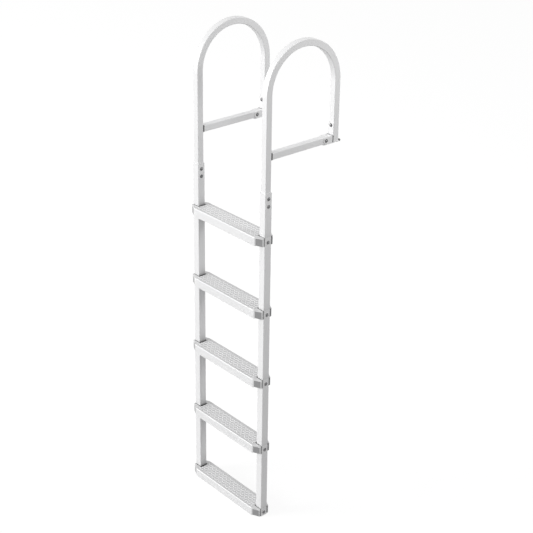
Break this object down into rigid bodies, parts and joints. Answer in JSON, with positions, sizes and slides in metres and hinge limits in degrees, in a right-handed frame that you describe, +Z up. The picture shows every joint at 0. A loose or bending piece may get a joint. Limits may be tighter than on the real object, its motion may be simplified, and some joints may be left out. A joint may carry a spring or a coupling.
{
  "type": "dock ladder",
  "caption": "Aluminium dock ladder: two square-tube stringers with hoop handrails, deck-level braces on foot brackets, and flat treads with grey end caps.",
  "frame": {"origin": "on the flat underside of the left foot bracket, on the axis of the left handrail's rear leg", "axes": "+X along the treads to the right stringer, +Y inland over the dock, +Z up; the deck is the plane z = 0 and the treads hang below it"},
  "size_m": [0.4292, 0.4015, 1.9483],
  "materials": {
    "tube_aluminium": "satin anodised extrusion",
    "tread_aluminium": "satin extrusion with a raised anti-slip pattern on top",
    "foot_aluminium": "satin cast and machined",
    "grey_plastic": "moulded grey plastic",
    "bolt_steel": "stainless steel, domed heads"
  },
  "bodies": {
    "root": {"left_stringer": "tube_aluminium", "left_handrail": "tube_aluminium", "left_joint_bolts": "bolt_steel", "left_brace": "tube_aluminium", "left_brace_front_plug": "grey_plastic", "left_brace_rear_plug": "grey_plastic", "left_foot_bracket": "foot_aluminium", "left_brace_bolt": "bolt_steel", "left_leg_bolt": "bolt_steel", "right_stringer": "tube_aluminium", "right_handrail": "tube_aluminium", "right_joint_bolts": "bolt_steel", "right_brace": "tube_aluminium", "right_brace_front_plug": "grey_plastic", "right_brace_rear_plug": "grey_plastic", "right_foot_bracket": "foot_aluminium", "right_brace_bolt": "bolt_steel", "right_leg_bolt": "bolt_steel", "step_1_tread": "tread_aluminium", "step_1_left_cap": "grey_plastic", "step_1_left_bolt": "bolt_steel", "step_1_right_cap": "grey_plastic", "step_1_right_bolt": "bolt_steel", "step_2_tread": "tread_aluminium", "step_2_left_cap": "grey_plastic", "step_2_left_bolt": "bolt_steel", "step_2_right_cap": "grey_plastic", "step_2_right_bolt": "bolt_steel", "step_3_tread": "tread_aluminium", "step_3_left_cap": "grey_plastic", "step_3_left_bolt": "bolt_steel", "step_3_right_cap": "grey_plastic", "step_3_right_bolt": "bolt_steel", "step_4_tread": "tread_aluminium", "step_4_left_cap": "grey_plastic", "step_4_left_bolt": "bolt_steel", "step_4_right_cap": "grey_plastic", "step_4_right_bolt": "bolt_steel", "step_5_tread": "tread_aluminium", "step_5_left_cap": "grey_plastic", "step_5_left_bolt": "bolt_steel", "step_5_right_cap": "grey_plastic", "step_5_right_bolt": "bolt_steel"}
  },
  "joints": []
}
